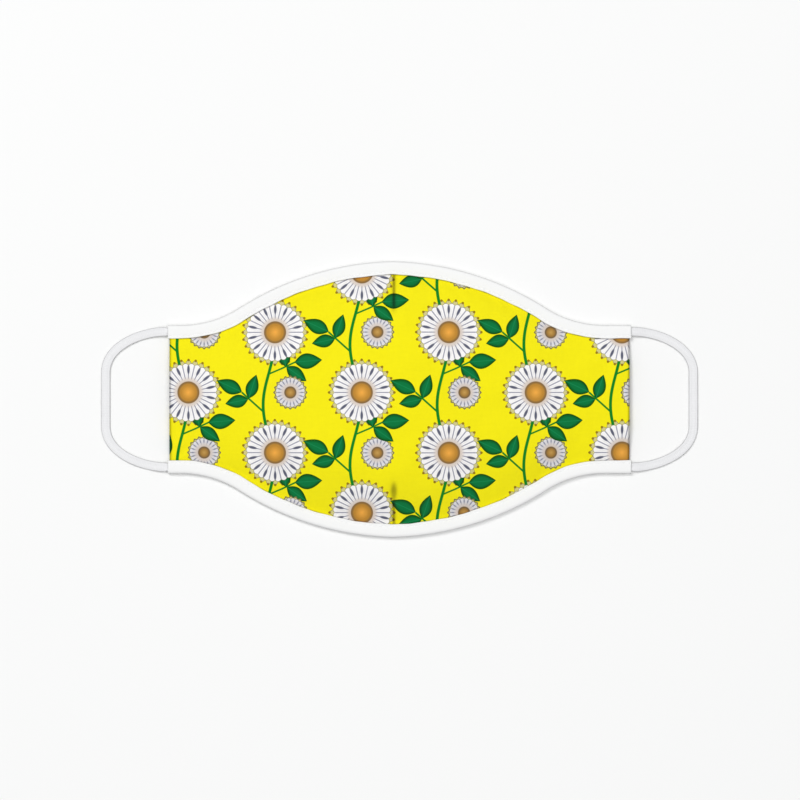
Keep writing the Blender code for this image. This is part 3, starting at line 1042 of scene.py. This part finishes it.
def cloth_place(tree):
    """The place on the cloth, across and along, in millimetres."""
    source = tree.nodes.new("ShaderNodeUVMap")
    source.uv_map = "Cloth"
    split = tree.nodes.new("ShaderNodeSeparateXYZ")
    tree.links.new(source.outputs["UV"], split.inputs["Vector"])
    return Reading(tree, split.outputs["X"]) * (1 / MM), Reading(tree, split.outputs["Y"]) * (1 / MM)


def noise_reading(tree, scale, detail=2.0, stretch=(1.0, 1.0, 1.0)):
    """Smooth noise from 0 to 1 through space. scale counts its lumps in a metre."""
    place = tree.nodes.new("ShaderNodeTexCoord")
    turned = tree.nodes.new("ShaderNodeMapping")
    turned.inputs["Scale"].default_value = stretch
    tree.links.new(place.outputs["Object"], turned.inputs["Vector"])
    lumps = tree.nodes.new("ShaderNodeTexNoise")
    lumps.inputs["Scale"].default_value = scale
    lumps.inputs["Detail"].default_value = detail
    tree.links.new(turned.outputs["Vector"], lumps.inputs["Vector"])
    return Reading(tree, lumps.outputs["Fac"])


def shaded(tone):
    """tone, less the share of light that the mesh's points have lost."""
    source = tone.tree.nodes.new("ShaderNodeAttribute")
    source.attribute_name = "shade"
    return tone * (1 - Reading(tone.tree, source.outputs["Fac"]))


def ripple(place, length):
    """0 to 1 and back in each length of a place."""
    return (place * (2 * pi / length)).work("SINE").scaled(0.5, 0.5)


def woven(u, v, pitch):
    """Height of a plain weave, 0 to 1: warp and weft threads pass over each other in turn."""
    warp = (u * (pi / pitch)).work("SINE")
    weft = (v * (pi / pitch)).work("SINE")
    over = (warp * weft).above(0.0, 0.25)
    round_warp = warp.size().work("SQRT") * weft.size().scaled(0.35, 0.65)
    round_weft = weft.size().work("SQRT") * warp.size().scaled(0.35, 0.65)
    return over.work("MULTIPLY_ADD", round_warp - round_weft, round_weft)


def slub_reading(tree):
    """Thick places in the threads, 0 to 2, long ones both along and across the cloth."""
    along = noise_reading(tree, 900, 3.0, (1.0, 0.22, 1.0))
    return along + noise_reading(tree, 900, 3.0, (0.22, 1.0, 1.0))


def coloured(shader, colour, tone):
    """Gives the shader colour, a socket or numbers, times tone, a Reading near 1."""
    tree = tone.tree
    node = tree.nodes.new("ShaderNodeVectorMath")
    node.operation = "SCALE"
    if isinstance(colour, bpy.types.NodeSocket):
        tree.links.new(colour, node.inputs[0])
    else:
        node.inputs[0].default_value = colour[:3]
    tree.links.new(tone.value, node.inputs["Scale"])
    tree.links.new(node.outputs["Vector"], shader.inputs["Base Color"])


def bumped(shader, height, depth, strength=0.8):
    tree = height.tree
    bump = tree.nodes.new("ShaderNodeBump")
    bump.inputs["Distance"].default_value = depth
    bump.inputs["Strength"].default_value = strength
    tree.links.new(height.value, bump.inputs["Height"])
    tree.links.new(bump.outputs["Normal"], shader.inputs["Normal"])


# Threads, in millimetres from one to the next
WEAVE_PITCH = 0.40
TWILL_PITCH = 0.62
TWILL_CROSS_PITCH = 0.50
KNIT_PITCH = 0.75
KNIT_SLOPE = 1.1
KNIT_GROOVE = 0.10


def make_print_cloth():
    """Plain-woven cotton printed with columns of daisies on yellow."""
    made, tree, shader = new_material("daisy_print_cotton", roughness=0.85, sheen=0.04)
    u, v = cloth_place(tree)
    colour = draw_print(u, v)
    threads = woven(u, v, WEAVE_PITCH)
    slubs = slub_reading(tree)
    cloud = noise_reading(tree, 60)
    # The colour is darker where the woven threads lie low: painted shade between the threads. Slubs and the
    # cloud vary it at random.
    tone = threads.scaled(0.07, 0.905) + slubs * 0.055 + cloud.scaled(0.04, -0.02)
    coloured(shader, colour, shaded(tone))
    bumped(shader, threads + slubs * 0.6, 0.09 * MM)
    return made


def make_plain_cloth():
    """The plain white cotton on the inside."""
    made, tree, shader = new_material("plain_cotton", roughness=0.85, sheen=0.15)
    u, v = cloth_place(tree)
    threads = woven(u, v, WEAVE_PITCH)
    slubs = slub_reading(tree)
    # The colour is darker where the woven threads lie low: painted shade between the threads. Slubs vary it
    # at random.
    tone = threads.scaled(0.07, 0.90) + slubs * 0.06
    coloured(shader, srgb(240, 239, 235), shaded(tone))
    bumped(shader, threads + slubs * 0.6, 0.09 * MM)
    return made


def make_tape():
    """White cotton tape in a fine twill, its diagonal running along the fold."""
    made, tree, shader = new_material("white_tape", roughness=0.80, sheen=0.15)
    u, v = cloth_place(tree)
    twill = ripple(u + v, TWILL_PITCH)
    cross = ripple(u - v, TWILL_CROSS_PITCH)
    height = twill * 0.7 + cross * 0.3 + noise_reading(tree, 1400) * 0.5
    # The colour is darker where the twill's height is low: painted shade in its hollows. The coarser noise
    # varies it at random.
    tone = height.scaled(0.045, 0.945) + noise_reading(tree, 120) * 0.02
    coloured(shader, srgb(246, 246, 245), shaded(tone))
    bumped(shader, height, 0.06 * MM)
    return made


def make_elastic():
    """Soft white knitted elastic: rows of small chevron loops between its lengthwise ribs."""
    made, tree, shader = new_material("white_elastic", roughness=0.72, sheen=0.2)
    u, v = cloth_place(tree)
    rib = LOOP_WIDTH / MM / LOOP_RIBS
    slope = v.folded(rib).size()
    knit = ripple(u + slope * KNIT_SLOPE, KNIT_PITCH)
    groove = slope.above(rib / 2 - KNIT_GROOVE, KNIT_GROOVE)
    height = knit * 0.8 - groove * 0.9 + noise_reading(tree, 1800) * 0.3
    # The colour is darker in the low places of the knit and in the grooves between the ribs: painted shade.
    tone = knit.scaled(0.05, 0.955) - groove * 0.07
    coloured(shader, srgb(246, 246, 247), shaded(tone))
    bumped(shader, height, 0.08 * MM)
    return made


def make_thread():
    """White sewing thread."""
    made, tree, shader = new_material("white_thread", roughness=0.55, sheen=0.3)
    ply = noise_reading(tree, 2600)
    coloured(shader, srgb(250, 250, 250), ply.scaled(0.08, 0.93))
    bumped(shader, ply, 0.05 * MM, 0.7)
    return made


def make_floor():
    """A plain pale tabletop."""
    made, tree, shader = new_material("pale_floor", roughness=0.9, sheen=0.0)
    cloud = noise_reading(tree, 3)
    coloured(shader, srgb(246, 246, 245), cloud.scaled(0.01, 0.995))
    return made


# Stage

# Sizes and places in metres, power in watts
FLOOR_REACH = 6.0
LIGHTS = (
    {"name": "key", "place": (-0.9, 1.2, 2.8), "size": 0.9, "power": 36},
    {"name": "top", "place": (0.2, -0.1, 3.0), "size": 2.4, "power": 42},
)
SKY_COLOUR = (0.97, 0.98, 1.0, 1)
SKY_STRENGTH = 0.355


def add_floor(skin):
    mesh = bpy.data.meshes.new("floor")
    reach = FLOOR_REACH
    corners = [(-reach, -reach, 0), (reach, -reach, 0), (reach, reach, 0), (-reach, reach, 0)]
    mesh.from_pydata(corners, [], [(0, 1, 2, 3)])
    mesh.materials.append(skin)
    floor = bpy.data.objects.new("floor", mesh)
    bpy.context.scene.collection.objects.link(floor)


def add_light(name, place, size, power):
    """A square soft light at place, turned towards the mask."""
    data = bpy.data.lights.new(name, "AREA")
    data.shape = "SQUARE"
    data.size = size
    data.energy = power
    light = bpy.data.objects.new(name, data)
    light.location = place
    light.rotation_mode = "QUATERNION"
    light.rotation_quaternion = (-Vector(place)).to_track_quat("-Z", "Y")
    light.visible_camera = False
    bpy.context.scene.collection.objects.link(light)


def light_scene():
    world = bpy.data.worlds.new("pale_room")
    world.use_nodes = True
    sky = world.node_tree.nodes["Background"]
    sky.inputs["Color"].default_value = SKY_COLOUR
    sky.inputs["Strength"].default_value = SKY_STRENGTH
    bpy.context.scene.world = world
    for light in LIGHTS:
        add_light(**light)
    bpy.context.scene.view_settings.view_transform = "Standard"
    bpy.context.scene.view_settings.look = "None"


def add_camera():
    """Straight above, far enough off that the mask looks as flat as in the photograph."""
    data = bpy.data.cameras.new("camera")
    data.lens = LENS_MM
    data.sensor_width = SENSOR_MM
    data.clip_end = 100
    camera = bpy.data.objects.new("camera", data)
    half_frame = FRAME_PIXELS * PHOTO_SCALE / 2
    distance = half_frame / tan(atan(SENSOR_MM / 2 / LENS_MM))
    side = (FRAME_PIXELS / 2 - PHOTO_MIDDLE[0]) * PHOTO_SCALE
    down = (FRAME_PIXELS / 2 - PHOTO_MIDDLE[1]) * PHOTO_SCALE
    camera.location = (side, -down, MID_LEVEL + distance)
    bpy.context.scene.collection.objects.link(camera)
    bpy.context.scene.camera = camera


def build():
    add_camera()
    print_cloth, plain_cloth = make_print_cloth(), make_plain_cloth()
    tape, thread, elastic = make_tape(), make_thread(), make_elastic()
    add_tape("top_binding_tape", "top_binding", 1, tape, thread)
    add_tape("bottom_binding_tape", "bottom_binding", -1, tape, thread)
    add_loop("right_ear_elastic", "right_ear_loop", 1, elastic)
    add_loop("left_ear_elastic", "left_ear_loop", -1, elastic)
    add_panel(print_cloth, plain_cloth)
    add_floor(make_floor())
    light_scene()


build()
